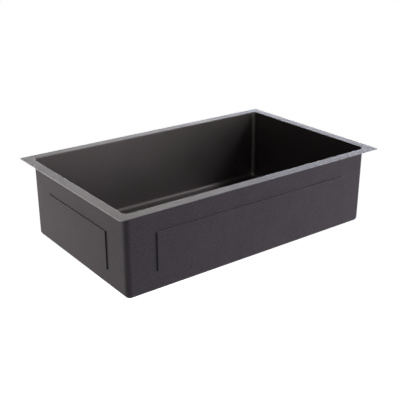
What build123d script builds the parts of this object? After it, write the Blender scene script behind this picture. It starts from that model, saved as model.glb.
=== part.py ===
from build123d import *

import os
from math import cos, radians, sqrt, tan

# An undermount kitchen sink of folded and welded sheet steel, with its basket waste.
# Lengths are in millimetres. The origin is the centre of the bowl's opening, in the top face of
# the rim: +X runs along the bowl to the right, +Y to the back wall and +Z up.

# ---- The bowl and its flat rim ----
BOWL_LENGTH = 710.0  # opening along X, between the walls' inner faces
BOWL_WIDTH = 425.0  # opening along Y
BOWL_DEPTH = 200.0  # top of the rim down to the underside of the floor at the walls
SHEET = 1.2  # thickness of the sheet
RIM_WIDTH = 25.0  # flat rim round the opening
RIM_CORNER = 4.0  # outer corners of the rim, in plan
CORNER_RADIUS = 12.0  # upright corners of the bowl, inside
FLOOR_RADIUS = 10.0  # round between walls and floor, inside
FLOOR_CORNER = 1.0  # least radius, in plan, that is left at the floor's corners
BEND = 2.0  # outer radius of the fold between rim and walls

# ---- The floor: its fall, its pressed creases and the dish round the drain ----
FLOOR_BORDER = 2.0  # level strip between the wall's round and the falling facets
FLOOR_FALL = 4.0  # drop from the walls to the level square round the drain
SQUARE_MARGIN = 5.5  # dish's mouth to the sides of that square
CREASE_RADIUS = 6.0  # section of the pressed creases
CREASE_DEPTH = 1.0  # how far they dip below the facets' meeting lines at the level square
DRAIN_SETBACK = 130.0  # back wall to the drain's centre
DRAIN_HOLE = 45.0  # radius of the hole for a 3-1/2 in waste
DISH_DEPTH = 5.0
DISH_SLOPE = 45.0  # degrees, of the dish's side

# ---- Damping pads, stuck on the outside ----
PAD_THICKNESS = 3.0
WALL_PAD_HEIGHT = 92.0
LONG_PAD_LENGTH = 560.0  # on the front and back walls
LONG_PAD_RISE = 48.5  # underside of the floor to the pad's lower edge
SIDE_PAD_LENGTH = 266.0  # on the left and right walls
SIDE_PAD_RISE = 42.5
FLOOR_PAD_LENGTH = 150.0  # along X, left and right of the drain
FLOOR_PAD_WIDTH = 195.0
FLOOR_PAD_INSET = 45.0  # side wall to pad
FRONT_PAD_LENGTH = 280.0  # under the floor in front of the drain
FRONT_PAD_WIDTH = 120.0
FRONT_PAD_INSET = 32.5  # front wall to pad
CREASE_CLEARANCE = 8.0  # least distance from a floor pad to its facet's edges

# ---- The waste: strainer body and what clamps it ----
FLANGE_LIP = 12.0  # how far the strainer's flange reaches past the drain hole
FLANGE_EDGE = 1.2  # thickness of the flange
FLANGE_CREST = 3.0  # height of its crest over the dish's seat
CREST_INSET = 4.0  # flange's edge to its crest
CUP_WALL = 2.0
CUP_DEPTH = 50.0  # seat of the dish down to the ledge that the stopper shuts on
CUP_BEVEL = 3.0  # inside, between the cup's wall and its ledge
LEDGE_THICKNESS = 3.0
OUTLET_STEP = 4.85  # tailpiece's outside to the outlet's thread
OUTLET_WALL = 3.4
OUTLET_LENGTH = 25.0
CROSS_DROP = 4.0  # nut on the post down to the cross in the outlet
CROSS_HEIGHT = 4.0
SPOKE_WIDTH = 3.0
HUB_WALL = 3.3
GASKET_THICKNESS = 1.0
GASKET_INSET = 1.0  # flange's edge to the gasket's edge
CLAMP_LIP = 9.0  # drain hole to the edge of the washer, ring and locknut under the bowl
SEALING_THICKNESS = 3.5
FRICTION_THICKNESS = 1.6
LOCKNUT_HEIGHT = 12.0
LOCKNUT_FLANGE = 3.2
LOCKNUT_WALL = 6.0
LOCKNUT_LUGS = 6
LOCKNUT_LUG_WIDTH = 9.0

# ---- Tailpiece and coupling nut ----
TAIL_RADIUS = 19.05  # outside of the 1-1/2 in tube
TAIL_WALL = 1.0
TAIL_LENGTH = 76.0
TAIL_FLANGE = 1.5  # thickness of its rolled flange
TAIL_WASHER = 2.0
COUPLING_REACH = 12.0  # thread engaged on the outlet
COUPLING_WALL = 3.6
COUPLING_FLOOR = 3.0
COUPLING_LUGS = 6
COUPLING_LUG_WIDTH = 6.0
COUPLING_LUG_REACH = 3.5
COUPLING_LUG_DROP = 1.0  # nut's top to its lugs' tops

# ---- Basket, post, knob and stopper ----
STOPPER_LIP = 9.5  # outlet's bore to the stopper's edge
STOPPER_THICKNESS = 6.0
BASKET_GAP = 3.5  # strainer's bore to the basket's wall
BASKET_HEIGHT = 38.0
BASKET_SHEET = 0.8
BASKET_LIP = 2.0
SLOTS = 16
SLOT_WIDTH = 3.0
SLOT_MARGIN = 9.0  # basket's bottom and top to the slots' ends
FLOOR_SLOTS = 8
FLOOR_SLOT_LENGTH = 14.0
FLOOR_SLOT_RADIUS = 21.0  # basket's axis to the middle of a slot in its floor
POST_RADIUS = 3.5
COLLAR_LIP = 3.5
COLLAR_HEIGHT = 1.5
NECK_STEP = 0.9  # how much thinner the post is where it stands in the cross
BULB_STEP = 0.1  # and at the snap bulb under the cross
BULB_HEIGHT = 4.0
STEEL_WASHER_LIP = 8.5
STEEL_WASHER = 1.0
POST_NUT_WALL = 1.45
POST_NUT_HEIGHT = 5.0
KNOB_RADIUS = 10.0
KNOB_WALL = 1.45  # of the stem round the post
KNOB_HEIGHT = 14.0
KNOB_HEAD = 6.5
KNOB_BEVEL = 2.0
KNOB_DEPTH = 2.0  # top of the knob below the dish's seat
KNOB_SOCKET = 9.0  # how far the post reaches into the knob

# ---- Clearances ----
HOLE_GAP = 2.5  # radial, between the drain hole and the strainer's cup
THREAD_GAP = 0.05  # radial, between the plain cylinders that stand for threads
RUNNING_GAP = 0.05  # radial, between the post and what turns on it
WASHER_GAP = 0.5  # radial, round the parts that washers slip over
SEAT_GAP = 0.3  # between pieces that lift apart
TAIL_GAP = 0.7  # radial, between the tailpiece and the hole of its coupling nut
DISH_GAP = 2.5  # flange's edge to the edge of the dish's level seat

# ---- Sizes and places that follow ----
RIM_LENGTH = BOWL_LENGTH + 2 * RIM_WIDTH
RIM_DEPTH = BOWL_WIDTH + 2 * RIM_WIDTH
FLOOR = SHEET - BOWL_DEPTH
FLOOR_ROUND = min(FLOOR_RADIUS, CORNER_RADIUS - FLOOR_CORNER)
FALL_END = FLOOR - FLOOR_FALL
SEAT = FALL_END - DISH_DEPTH
DRAIN_Y = BOWL_WIDTH / 2 - DRAIN_SETBACK
FLANGE_RADIUS = DRAIN_HOLE + FLANGE_LIP
DISH_RADIUS = FLANGE_RADIUS + DISH_GAP
DISH_RUN = DISH_DEPTH / tan(radians(DISH_SLOPE))
FALL_SQUARE = 2 * (DISH_RADIUS + DISH_RUN + SQUARE_MARGIN)
CUP_RADIUS = DRAIN_HOLE - HOLE_GAP
CUP_BORE = CUP_RADIUS - CUP_WALL
CLAMP_RADIUS = DRAIN_HOLE + CLAMP_LIP
OUTLET_RADIUS = TAIL_RADIUS + OUTLET_STEP
OUTLET_BORE = OUTLET_RADIUS - OUTLET_WALL
STOPPER_RADIUS = OUTLET_BORE + STOPPER_LIP
BASKET_RADIUS = CUP_BORE - BASKET_GAP
POST_BORE = POST_RADIUS + RUNNING_GAP
BULB_RADIUS = POST_RADIUS - BULB_STEP
CROSS_HOLE = BULB_RADIUS + SEAT_GAP

# Heights in the waste are measured from the dish's seat.
SEALING_TOP = -SHEET
FRICTION_TOP = SEALING_TOP - SEALING_THICKNESS
LOCKNUT_TOP = FRICTION_TOP - FRICTION_THICKNESS
CUP_BOTTOM = -CUP_DEPTH - LEDGE_THICKNESS
OUTLET_END = CUP_BOTTOM - OUTLET_LENGTH
TAIL_TOP = OUTLET_END - TAIL_WASHER
STOPPER_BOTTOM = SEAT_GAP - CUP_DEPTH
STOPPER_TOP = STOPPER_BOTTOM + STOPPER_THICKNESS
BASKET_BOTTOM = STOPPER_TOP + SEAT_GAP
BASKET_FLOOR = BASKET_BOTTOM + BASKET_SHEET
BASKET_TOP = BASKET_BOTTOM + BASKET_HEIGHT
STEEL_WASHER_TOP = STOPPER_BOTTOM - SEAT_GAP
POST_NUT_TOP = STEEL_WASHER_TOP - STEEL_WASHER
CROSS_TOP = POST_NUT_TOP - POST_NUT_HEIGHT - CROSS_DROP
KNOB_TOP = -KNOB_DEPTH
KNOB_BOTTOM = KNOB_TOP - KNOB_HEIGHT
POST_TOP = KNOB_BOTTOM + KNOB_SOCKET


def rectangle_corners(length, width, middle_y, level):
    """The corners of a level rectangle, anticlockwise from the front left one."""
    left, right = -length / 2, length / 2
    front, back = middle_y - width / 2, middle_y + width / 2
    plan = [(left, front), (right, front), (right, back), (left, back)]
    return [Vector(x, y, level) for x, y in plan]


def fall_corners(skin):
    """The falling floor's high corners, near the walls, and its low ones, round the drain."""
    inset = FLOOR_ROUND + FLOOR_BORDER
    length = BOWL_LENGTH - 2 * inset
    width = BOWL_WIDTH - 2 * inset
    high = rectangle_corners(length, width, 0, FLOOR - skin)
    low = rectangle_corners(FALL_SQUARE, FALL_SQUARE, DRAIN_Y, FALL_END - skin)
    return high, low


def floor_fall(skin):
    """The shallow space under the walls' foot, with four flat facets that fall to the drain."""
    high, low = fall_corners(skin)
    outlines = [high, low]
    for here in range(4):
        after = (here + 1) % 4
        outlines.append([high[here], high[after], low[after], low[here]])
    faces = [Face(Wire.make_polygon(outline, close=True)) for outline in outlines]
    return Solid(Shell(faces))


def creases(skin):
    """The pressed creases: rods that start flush at the walls and dip deeper towards the dish."""
    lift = Vector(0, 0, CREASE_RADIUS)
    dip = Vector(0, 0, CREASE_DEPTH)
    rods = []
    for high, low in zip(*fall_corners(0)):
        end = low - dip
        run = end - high
        overrun = 1 + (FALL_SQUARE * sqrt(0.5) - DISH_RADIUS) / run.length
        circle = Plane(origin=high + lift, z_dir=run) * Circle(CREASE_RADIUS + skin)
        rods.append(extrude(circle, run.length * overrun))
    return rods


def dish(skin):
    """The round dish that sinks the waste's flange below the floor."""
    seat = DISH_RADIUS + skin * tan(radians(DISH_SLOPE / 2))
    mouth = seat + DISH_RUN
    bottom = SEAT - skin
    top = FALL_END - skin
    return Pos(0, DRAIN_Y, 0) * lathe((0, top), (mouth, top), (seat, bottom), (0, bottom))


def bowl_form(skin):
    """The bowl's inside space, or its outside shape when skin is the sheet's thickness."""
    length = BOWL_LENGTH + 2 * skin
    width = BOWL_WIDTH + 2 * skin
    form = extrude(RectangleRounded(length, width, CORNER_RADIUS + skin), FLOOR - skin)
    form = fillet(form.edges().group_by(Axis.Z)[0], FLOOR_ROUND + skin)
    return form + floor_fall(skin) + dish(skin) + creases(skin)


def bowl_shell():
    """Rim, walls, falling floor and dish, all of one sheet's thickness."""
    rim = extrude(RectangleRounded(RIM_LENGTH, RIM_DEPTH, RIM_CORNER), -SHEET)
    shell = rim + bowl_form(SHEET) - bowl_form(0)
    shell = shell - Pos(0, DRAIN_Y, SEAT) * Cylinder(DRAIN_HOLE, 4 * SHEET)
    top = shell.faces().sort_by(Axis.Z)[-1]
    return fillet(top.inner_wires()[0].edges(), BEND)


def pad(plane, length, width):
    """A pad on the plane, which faces away from the bowl."""
    return extrude(plane * Rectangle(length, width), PAD_THICKNESS)


def long_wall_pad(side):
    """side is -1 at the front wall and 1 at the back wall."""
    wall = side * (BOWL_WIDTH / 2 + SHEET)
    middle = LONG_PAD_RISE + WALL_PAD_HEIGHT / 2 - BOWL_DEPTH
    plane = Plane(origin=(0, wall, middle), x_dir=(1, 0, 0), z_dir=(0, side, 0))
    return pad(plane, LONG_PAD_LENGTH, WALL_PAD_HEIGHT)


def side_wall_pad(side):
    """side is -1 at the left wall and 1 at the right wall."""
    wall = side * (BOWL_LENGTH / 2 + SHEET)
    middle = SIDE_PAD_RISE + WALL_PAD_HEIGHT / 2 - BOWL_DEPTH
    plane = Plane(origin=(wall, 0, middle), x_dir=(0, 1, 0), z_dir=(side, 0, 0))
    return pad(plane, SIDE_PAD_LENGTH, WALL_PAD_HEIGHT)


def floor_pad(facet, length, width, x, y):
    """A pad stuck under one facet, centred at x, y and cut clear of the facet's edges."""
    high, low = fall_corners(SHEET)
    after = (facet + 1) % 4
    start = high[facet]
    normal = (low[facet] - start).cross(high[after] - start).normalized()
    level = start.Z - (normal.X * (x - start.X) + normal.Y * (y - start.Y)) / normal.Z
    plane = Plane(origin=(x, y, level), x_dir=Vector(0, 1, 0).cross(normal), z_dir=normal)
    outline = [high[facet], high[after], low[after], low[facet]]
    plan = make_face(Polyline([(corner.X, corner.Y) for corner in outline], close=True))
    clear = extrude(offset(plan, -CREASE_CLEARANCE, kind=Kind.INTERSECTION), -2 * BOWL_DEPTH)
    return pad(plane, length, width) & clear


def side_floor_pad(side):
    """side is -1 left of the drain and 1 right of it."""
    x = side * (BOWL_LENGTH / 2 - FLOOR_PAD_INSET - FLOOR_PAD_LENGTH / 2)
    y = DRAIN_Y + FALL_SQUARE / 2 - FLOOR_PAD_WIDTH / 2
    facet = 1 if side > 0 else 3
    return floor_pad(facet, FLOOR_PAD_LENGTH, FLOOR_PAD_WIDTH, x, y)


def front_floor_pad():
    y = FRONT_PAD_INSET + FRONT_PAD_WIDTH / 2 - BOWL_WIDTH / 2
    return floor_pad(0, FRONT_PAD_LENGTH, FRONT_PAD_WIDTH, 0, y)


def lathe(*corners):
    """Turn an outline about the Z axis. Its corners are pairs of radius and height.

    They run clockwise, with the axis on the left.
    """
    outline = make_face(Polyline(*corners, close=True))
    return revolve(Plane.XZ * outline, Axis.Z)


def ring(inner, outer, top, thickness):
    """A flat ring that hangs down from its top face."""
    bottom = top - thickness
    return lathe((inner, top), (outer, top), (outer, bottom), (inner, bottom))


def lugs(count, width, inner, outer, top, bottom):
    """Grip lugs that stand out evenly all round."""
    block = Box(outer - inner, width, top - bottom, align=(Align.MIN, Align.CENTER, Align.MIN))
    block = Pos(inner, 0, bottom) * block
    return [Rot(0, 0, turn * 360 / count) * block for turn in range(count)]


def strainer_body():
    """Flange, threaded cup and outlet in one piece, with a cross that the post snaps into."""
    flange_top = GASKET_THICKNESS + FLANGE_EDGE
    skirt = CUP_RADIUS + SHEET  # outside of the funnel at the seat: it ends at the washer's top
    funnel = skirt - FLANGE_EDGE / cos(radians(45))  # and inside
    body = lathe(
        (CUP_BORE, CUP_BORE - funnel),
        (funnel + flange_top, flange_top),
        (FLANGE_RADIUS - CREST_INSET, FLANGE_CREST),
        (FLANGE_RADIUS, flange_top),
        (FLANGE_RADIUS, GASKET_THICKNESS),
        (skirt + GASKET_THICKNESS, GASKET_THICKNESS),
        (CUP_RADIUS, SEALING_TOP),
        (CUP_RADIUS, CUP_BOTTOM),
        (OUTLET_RADIUS, CUP_BOTTOM),
        (OUTLET_RADIUS, OUTLET_END),
        (OUTLET_BORE, OUTLET_END),
        (OUTLET_BORE, -CUP_DEPTH),
        (CUP_BORE - CUP_BEVEL, -CUP_DEPTH),
        (CUP_BORE, CUP_BEVEL - CUP_DEPTH),
    )
    spoke = Box(2 * OUTLET_BORE + OUTLET_WALL, SPOKE_WIDTH, CROSS_HEIGHT)
    hub = Cylinder(CROSS_HOLE + HUB_WALL, CROSS_HEIGHT)
    cross = hub + Rot(0, 0, 45) * spoke + Rot(0, 0, -45) * spoke
    cross = cross - Cylinder(CROSS_HOLE, 2 * CROSS_HEIGHT)
    return body + Pos(0, 0, CROSS_TOP - CROSS_HEIGHT / 2) * cross


def flange_gasket():
    inner = DRAIN_HOLE + GASKET_INSET
    return ring(inner, FLANGE_RADIUS - GASKET_INSET, GASKET_THICKNESS, GASKET_THICKNESS)


def sealing_washer():
    return ring(CUP_RADIUS + WASHER_GAP, CLAMP_RADIUS, SEALING_TOP, SEALING_THICKNESS)


def friction_ring():
    return ring(CUP_RADIUS + WASHER_GAP, CLAMP_RADIUS, FRICTION_TOP, FRICTION_THICKNESS)


def locknut():
    """A flanged nut on the cup's thread, turned by its lugs."""
    bore = CUP_RADIUS + THREAD_GAP
    wall = bore + LOCKNUT_WALL
    shoulder = LOCKNUT_TOP - LOCKNUT_FLANGE
    bottom = LOCKNUT_TOP - LOCKNUT_HEIGHT
    nut = lathe(
        (bore, LOCKNUT_TOP),
        (CLAMP_RADIUS, LOCKNUT_TOP),
        (CLAMP_RADIUS, shoulder),
        (wall, shoulder),
        (wall, bottom),
        (bore, bottom),
    )
    reach = wall - LOCKNUT_WALL / 3
    return nut + lugs(LOCKNUT_LUGS, LOCKNUT_LUG_WIDTH, reach, CLAMP_RADIUS, shoulder, bottom)


def tailpiece_washer():
    return ring(OUTLET_BORE, OUTLET_RADIUS - WASHER_GAP, OUTLET_END, TAIL_WASHER)


def tailpiece():
    """The tube that carries the water on to the trap, hung by its rolled flange."""
    bore = TAIL_RADIUS - TAIL_WALL
    flange = OUTLET_RADIUS - 2 * WASHER_GAP
    flange_bottom = TAIL_TOP - TAIL_FLANGE
    end = TAIL_TOP - TAIL_LENGTH
    return lathe(
        (bore, TAIL_TOP),
        (flange, TAIL_TOP),
        (flange, flange_bottom),
        (TAIL_RADIUS, flange_bottom),
        (TAIL_RADIUS, end),
        (bore, end),
    )


def coupling_nut():
    """A lugged nut that pulls the tailpiece's flange up against the outlet."""
    bore = OUTLET_RADIUS + THREAD_GAP
    wall = bore + COUPLING_WALL
    top = OUTLET_END + COUPLING_REACH
    shoulder = TAIL_TOP - TAIL_FLANGE
    bottom = shoulder - COUPLING_FLOOR
    hole = TAIL_RADIUS + TAIL_GAP
    nut = lathe(
        (bore, top),
        (wall, top),
        (wall, bottom),
        (hole, bottom),
        (hole, shoulder),
        (bore, shoulder),
    )
    inner = wall - COUPLING_WALL / 3
    outer = wall + COUPLING_LUG_REACH
    lug_top = top - COUPLING_LUG_DROP
    grips = lugs(COUPLING_LUGS, COUPLING_LUG_WIDTH, inner, outer, lug_top, shoulder)
    return nut + grips


def stopper_seal():
    """The rubber stopper, with a bevelled rim, that shuts on the strainer's ledge."""
    bevel = STOPPER_THICKNESS / 2
    return lathe(
        (POST_BORE, STOPPER_TOP),
        (STOPPER_RADIUS - 2 * bevel, STOPPER_TOP),
        (STOPPER_RADIUS, STOPPER_TOP - bevel),
        (STOPPER_RADIUS, STOPPER_BOTTOM),
        (POST_BORE, STOPPER_BOTTOM),
    )


def seal_washer():
    return ring(POST_BORE, POST_BORE + STEEL_WASHER_LIP, STEEL_WASHER_TOP, STEEL_WASHER)


def post_nut():
    hexagon = RegularPolygon(POST_BORE + POST_NUT_WALL, 6, major_radius=False)
    nut = extrude(hexagon - Circle(POST_BORE), -POST_NUT_HEIGHT)
    return Pos(0, 0, POST_NUT_TOP) * nut


def basket_cup():
    """A straight cup of thin sheet with a flat lip, slotted round its wall and in its floor."""
    inside = BASKET_RADIUS - BASKET_SHEET
    cup = lathe(
        (inside, BASKET_TOP),
        (BASKET_RADIUS + BASKET_LIP, BASKET_TOP),
        (BASKET_RADIUS + BASKET_LIP, BASKET_TOP - BASKET_SHEET),
        (BASKET_RADIUS, BASKET_TOP - BASKET_SHEET),
        (BASKET_RADIUS, BASKET_BOTTOM),
        (POST_BORE, BASKET_BOTTOM),
        (POST_BORE, BASKET_FLOOR),
        (inside, BASKET_FLOOR),
    )
    wall_slot = Box(3 * BASKET_SHEET, SLOT_WIDTH, BASKET_HEIGHT - 2 * SLOT_MARGIN)
    wall_slot = Pos(inside, 0, BASKET_BOTTOM + BASKET_HEIGHT / 2) * wall_slot
    floor_slot = Box(FLOOR_SLOT_LENGTH, SLOT_WIDTH, 3 * BASKET_SHEET)
    floor_slot = Pos(FLOOR_SLOT_RADIUS, 0, BASKET_BOTTOM) * floor_slot
    cuts = [Rot(0, 0, turn * 360 / SLOTS) * wall_slot for turn in range(SLOTS)]
    cuts += [Rot(0, 0, turn * 360 / FLOOR_SLOTS) * floor_slot for turn in range(FLOOR_SLOTS)]
    return cup - cuts


def basket_post():
    """A stepped rod: a collar on the basket's floor, a neck in the cross, a snap bulb below it."""
    collar_top = BASKET_FLOOR + COLLAR_HEIGHT
    neck = POST_RADIUS - NECK_STEP
    neck_top = CROSS_TOP + SEAT_GAP
    bulb_top = CROSS_TOP - CROSS_HEIGHT - SEAT_GAP
    bulb_bottom = bulb_top - BULB_HEIGHT
    return lathe(
        (0, POST_TOP),
        (POST_RADIUS, POST_TOP),
        (POST_RADIUS, collar_top),
        (POST_RADIUS + COLLAR_LIP, collar_top),
        (POST_RADIUS + COLLAR_LIP, BASKET_FLOOR),
        (POST_RADIUS, BASKET_FLOOR),
        (POST_RADIUS, neck_top),
        (neck, neck_top),
        (neck, bulb_top),
        (BULB_RADIUS, bulb_top),
        (BULB_RADIUS, bulb_bottom),
        (0, bulb_bottom),
    )


def basket_knob():
    """A turned knob with a bevelled head, pushed on the post's upper end."""
    head_bottom = KNOB_TOP - KNOB_HEAD
    stem = POST_BORE + KNOB_WALL
    return lathe(
        (0, KNOB_TOP),
        (KNOB_RADIUS - KNOB_BEVEL, KNOB_TOP),
        (KNOB_RADIUS, KNOB_TOP - KNOB_BEVEL),
        (KNOB_RADIUS, head_bottom),
        (stem, head_bottom),
        (stem, KNOB_BOTTOM),
        (POST_BORE, KNOB_BOTTOM),
        (POST_BORE, POST_TOP),
        (0, POST_TOP),
    )


def at_drain(piece):
    """Move a piece of the waste from its own axis to the drain."""
    return Pos(0, DRAIN_Y, SEAT) * piece


nodes = {
    "bowl_shell": bowl_shell(),
    "damping_pad_front": long_wall_pad(-1),
    "damping_pad_back": long_wall_pad(1),
    "damping_pad_left": side_wall_pad(-1),
    "damping_pad_right": side_wall_pad(1),
    "damping_pad_floor_left": side_floor_pad(-1),
    "damping_pad_floor_right": side_floor_pad(1),
    "damping_pad_floor_front": front_floor_pad(),
    "strainer_body": at_drain(strainer_body()),
    "flange_gasket": at_drain(flange_gasket()),
    "sealing_washer": at_drain(sealing_washer()),
    "friction_ring": at_drain(friction_ring()),
    "locknut": at_drain(locknut()),
    "tailpiece_washer": at_drain(tailpiece_washer()),
    "tailpiece": at_drain(tailpiece()),
    "coupling_nut": at_drain(coupling_nut()),
    "stopper_seal": at_drain(stopper_seal()),
    "seal_washer": at_drain(seal_washer()),
    "post_nut": at_drain(post_nut()),
    "basket_cup": at_drain(basket_cup()),
    "basket_post": at_drain(basket_post()),
    "basket_knob": at_drain(basket_knob()),
}

os.makedirs("parts", exist_ok=True)
for name, solid in nodes.items():
    export_step(solid, f"parts/{name}.step")
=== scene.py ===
"""Looks of an undermount kitchen sink and its basket waste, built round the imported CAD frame."""

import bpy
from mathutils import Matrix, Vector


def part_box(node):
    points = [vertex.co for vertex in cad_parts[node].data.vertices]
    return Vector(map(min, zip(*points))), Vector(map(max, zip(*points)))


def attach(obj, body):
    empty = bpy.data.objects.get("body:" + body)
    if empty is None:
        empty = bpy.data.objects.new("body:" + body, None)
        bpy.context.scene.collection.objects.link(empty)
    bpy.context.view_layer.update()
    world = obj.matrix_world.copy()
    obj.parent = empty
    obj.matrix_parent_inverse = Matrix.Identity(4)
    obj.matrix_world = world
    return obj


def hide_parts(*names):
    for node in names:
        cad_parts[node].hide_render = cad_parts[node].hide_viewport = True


bl_info = {
    "name": "Undermount sink looks",
    "version": (1, 0, 0),
    "blender": (4, 5, 0),
    "location": "3D View > Sidebar > Sink",
    "description": "Models and finishes an undermount sink with its basket waste on a CAD frame",
    "category": "Object",
}

from math import cos, pi, radians, sin

import bmesh
import bpy
from bpy.props import FloatProperty, FloatVectorProperty, IntProperty, PointerProperty
from mathutils import Vector

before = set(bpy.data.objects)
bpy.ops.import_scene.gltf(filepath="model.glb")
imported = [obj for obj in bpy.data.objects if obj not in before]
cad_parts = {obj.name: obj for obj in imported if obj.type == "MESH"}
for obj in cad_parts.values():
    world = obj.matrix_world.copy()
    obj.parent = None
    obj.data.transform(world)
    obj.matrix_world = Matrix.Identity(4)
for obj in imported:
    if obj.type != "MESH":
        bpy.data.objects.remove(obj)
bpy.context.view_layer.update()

MM = 0.001
# Nearer than this, two heights or places count as the same one.
TINY = 0.00001
# A face counts as facing along an axis when this much of its normal does.
FACING = 0.7

# ---- Places that the frame gives ----
RIM_LOW, RIM_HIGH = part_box("bowl_shell")
TAIL_LOW, TAIL_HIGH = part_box("tailpiece")
TAIL_MIDDLE = (TAIL_LOW + TAIL_HIGH) / 2
# On the waste's axis, at the level of the seat that the gasket lies on.
DRAIN = Vector((TAIL_MIDDLE.x, TAIL_MIDDLE.y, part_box("flange_gasket")[0].z))


def turned_box(node):
    """The top and bottom of a turned node, as heights from the seat, and its radius."""
    low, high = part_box(node)
    return high.z - DRAIN.z, low.z - DRAIN.z, (high.x - low.x) / 2


def linear(hex_colour):
    """An sRGB hex colour as linear red, green and blue."""
    channels = [int(hex_colour[i : i + 2], 16) / 255 for i in (0, 2, 4)]
    return [c / 12.92 if c <= 0.04045 else ((c + 0.055) / 1.055) ** 2.4 for c in channels]


def length(name, description, millimetres):
    """A length that the user can change, given in millimetres."""
    return FloatProperty(
        name=name, description=description, default=millimetres * MM, min=0, unit="LENGTH", precision=4
    )


def angle(name, description, degrees):
    """An angle that the user can change, given in degrees."""
    return FloatProperty(name=name, description=description, default=radians(degrees), subtype="ANGLE")


def light(name, description, value, unit="POWER"):
    """The watts of a lamp, or the strength of another light, that the user can change."""
    return FloatProperty(name=name, description=description, default=value, min=0, unit=unit)


def colour(name, description, hex_colour):
    """A colour that the user can change, given as sRGB hex."""
    return FloatVectorProperty(
        name=name, description=description, default=linear(hex_colour), min=0, max=1, subtype="COLOR"
    )


# ---- Sizes and colours that a user would change ----


class SinkSheetSettings(bpy.types.PropertyGroup):
    """The bowl, folded and welded from one gauge of sheet"""

    sheet: length("Sheet", "Thickness of the steel sheet", 1.2)
    rim_width: length("Rim width", "Flat rim round the opening", 25)
    rim_corner: length("Rim corner", "Radius of the rim's outer corners", 4)
    corner: length("Wall corner", "Inside radius of the upright corners", 12)
    floor_round: length("Floor round", "Inside radius between walls and floor", 10)
    fold: length("Fold", "Outer radius of the fold between rim and walls", 2)
    depth: length("Depth", "Top of the rim to the underside of the floor at the walls", 200)
    fall: length("Fall", "Drop of the floor from the walls to the drain", 4)
    square: length("Square", "Side of the level square round the drain", 140)
    crease: length("Crease", "How deep the floor's creases are pressed", 1)
    dish_mouth: length("Dish mouth", "Radius of the dish round the drain, at the top", 64.5)
    dish_seat: length("Dish seat", "Radius of the dish's level seat", 59.5)
    drain_hole: length("Drain hole", "Radius of the drain hole", 45)
    steel: colour("Steel", "Coloured film on the brushed steel", "847F81")
    edge: colour("Cut edge", "Bare steel where the sheet was cut", "7D7A82")
    coat: colour("Undercoat", "Sprayed coat on the outside", "59535B")


class SinkPadSettings(bpy.types.PropertyGroup):
    """The damping pads on the outside"""

    edge_round: length("Edge round", "Rounding of a pad's edges", 0.5)
    rubber: colour("Pad rubber", "Cut ends of the pads", "0C0B0D")
    # The pads' upper and lower sides: thin overspray, painted paler than the coat as painted light, so
    # that the upper sides, which the low lamps miss, show as bright as the wall.
    overspray: colour("Overspray", "Upper and lower sides of the pads, thinly coated", "A09AA2")


class SinkWasteSettings(bpy.types.PropertyGroup):
    """The basket waste"""

    thread_pitch: length("Thread pitch", "Pitch of the strainer's and the outlet's thread", 2.5)
    thread_depth: length("Thread depth", "Height of the thread's ridge", 0.8)
    edge_round: length("Edge round", "Rounding of cast and moulded edges", 0.6)
    wall_slots: IntProperty(name="Wall slots", description="Slots round the basket's wall", default=16)
    floor_slots: IntProperty(name="Floor slots", description="Slots in the basket's floor", default=8)
    steel: colour("Waste steel", "Coloured film on the waste", "8E8B92")
    chrome: colour("Chromed brass", "Plated tube", "C4C5C6")
    zinc: colour("Cast zinc", "Nuts", "A4A6A8")
    rubber: colour("Rubber", "Seals", "1C1B1C")
    foam: colour("Foam", "Gasket under the flange", "2E2D2F")
    fibre: colour("Fibre", "Friction ring", "8A5E3A")
    nylon: colour("Nylon", "Tailpiece washer", "DAD8CF")


class SinkStageSettings(bpy.types.PropertyGroup):
    """Camera, lamps and floor"""

    azimuth: angle("Azimuth", "The camera's turn round the sink", -36.75)
    elevation: angle("Elevation", "The camera's height over the horizon", 22.32)
    distance: length("Distance", "Camera to the point it looks at", 1812.6)
    lens: FloatProperty(name="Lens", description="Focal length", default=67.02, min=1, unit="CAMERA")
    world: light("Surroundings", "Strength of the light all round", 0.15, "NONE")
    ceiling: light("Ceiling", "Strength overhead in reflections", 0.27, "NONE")
    dim_side: light("Dim side", "Strength of the back left in reflections", 0.1, "NONE")
    left: light("Left lamp", "Low lamp at the left, for the end wall", 17)
    right: light("Right lamp", "Low lamp at the right, for the front wall", 11.8)
    back: light("Backlight", "Panel behind the sink, which the rim reflects", 39)
    high: light("Warm panel", "Panel above that, which the near corner of the rim reflects", 3.1)
    softbox: light("Softbox", "Softbox over the right front, which the back wall reflects", 4.5)
    key: light("Key", "Small lamp that draws the folds round the floor", 2.6)
    floor_drop: length("Floor drop", "Top of the rim to the studio floor", 1500)


SETTINGS = {
    "sink_sheet": SinkSheetSettings,
    "sink_pads": SinkPadSettings,
    "sink_waste": SinkWasteSettings,
    "sink_stage": SinkStageSettings,
}


# ---- Finishes ----


def add_node(tree, kind, inputs=None, **settings):
    """Add a node. An input is a value, a socket, or a node whose first output is meant.

    A Mix node's sockets go by number: 0 its factor, 4 and 5 its vectors, 6 and 7 its colours.
    """
    node = tree.nodes.new(kind)
    for name, value in settings.items():
        setattr(node, name, value)
    for name, value in (inputs or {}).items():
        if isinstance(value, bpy.types.Node):
            value = value.outputs[0]
        if isinstance(value, bpy.types.NodeSocket):
            tree.links.new(value, node.inputs[name])
        else:
            node.inputs[name].default_value = value
    return node


def blank_finish(name):
    """The material of this name with an empty node tree, and its output node."""
    material = bpy.data.materials.get(name) or bpy.data.materials.new(name)
    material.use_nodes = True
    tree = material.node_tree
    tree.nodes.clear()
    return tree, tree.nodes.new("ShaderNodeOutputMaterial")


def tinted(rgb, factor):
    """The colour made lighter or darker, for a colour socket."""
    return (*(min(1, channel * factor) for channel in rgb), 1)


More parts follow.
